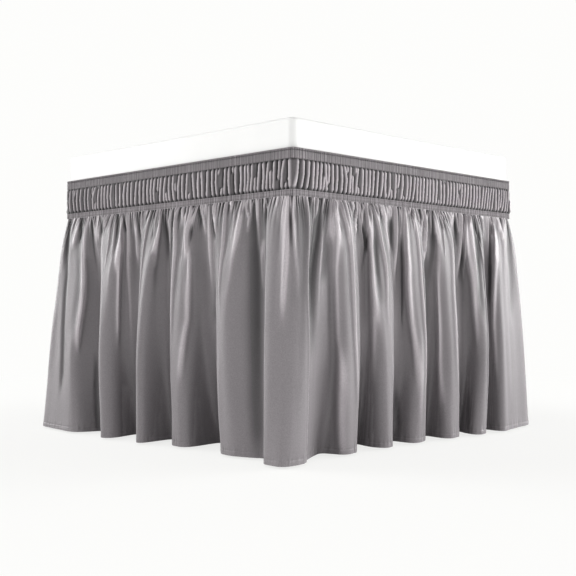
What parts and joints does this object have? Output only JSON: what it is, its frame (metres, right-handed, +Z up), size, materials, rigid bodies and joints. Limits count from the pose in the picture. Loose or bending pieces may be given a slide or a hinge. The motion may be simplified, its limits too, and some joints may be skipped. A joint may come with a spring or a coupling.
{
  "type": "bed skirt on a box spring",
  "caption": "Gathered bed skirt with a shirred and ruched elastic heading, stretched round a plain box spring so that its ruffle falls in folds to the floor and hides the legs.",
  "frame": {"origin": "centre of the bounding box at the floor that the legs stand on", "axes": "+Z up, -Y the front face (the picture's left one), +X the right face (the picture's right one)"},
  "size_m": [0.5936, 0.6042, 0.44],
  "materials": {
    "top_band_cloth": "satin",
    "ruched_cloth": "satin",
    "lower_band_cloth": "satin",
    "ruffle_cloth": "satin",
    "base_ticking": "matte",
    "leg_paint": "matte"
  },
  "bodies": {
    "root": {"heading_top_band": "top_band_cloth", "heading_ruched_panel": "ruched_cloth", "heading_lower_band": "lower_band_cloth", "ruffle": "ruffle_cloth", "box_spring": "base_ticking", "leg_front_right": "leg_paint", "leg_front_left": "leg_paint", "leg_back_left": "leg_paint", "leg_back_right": "leg_paint"}
  },
  "joints": []
}
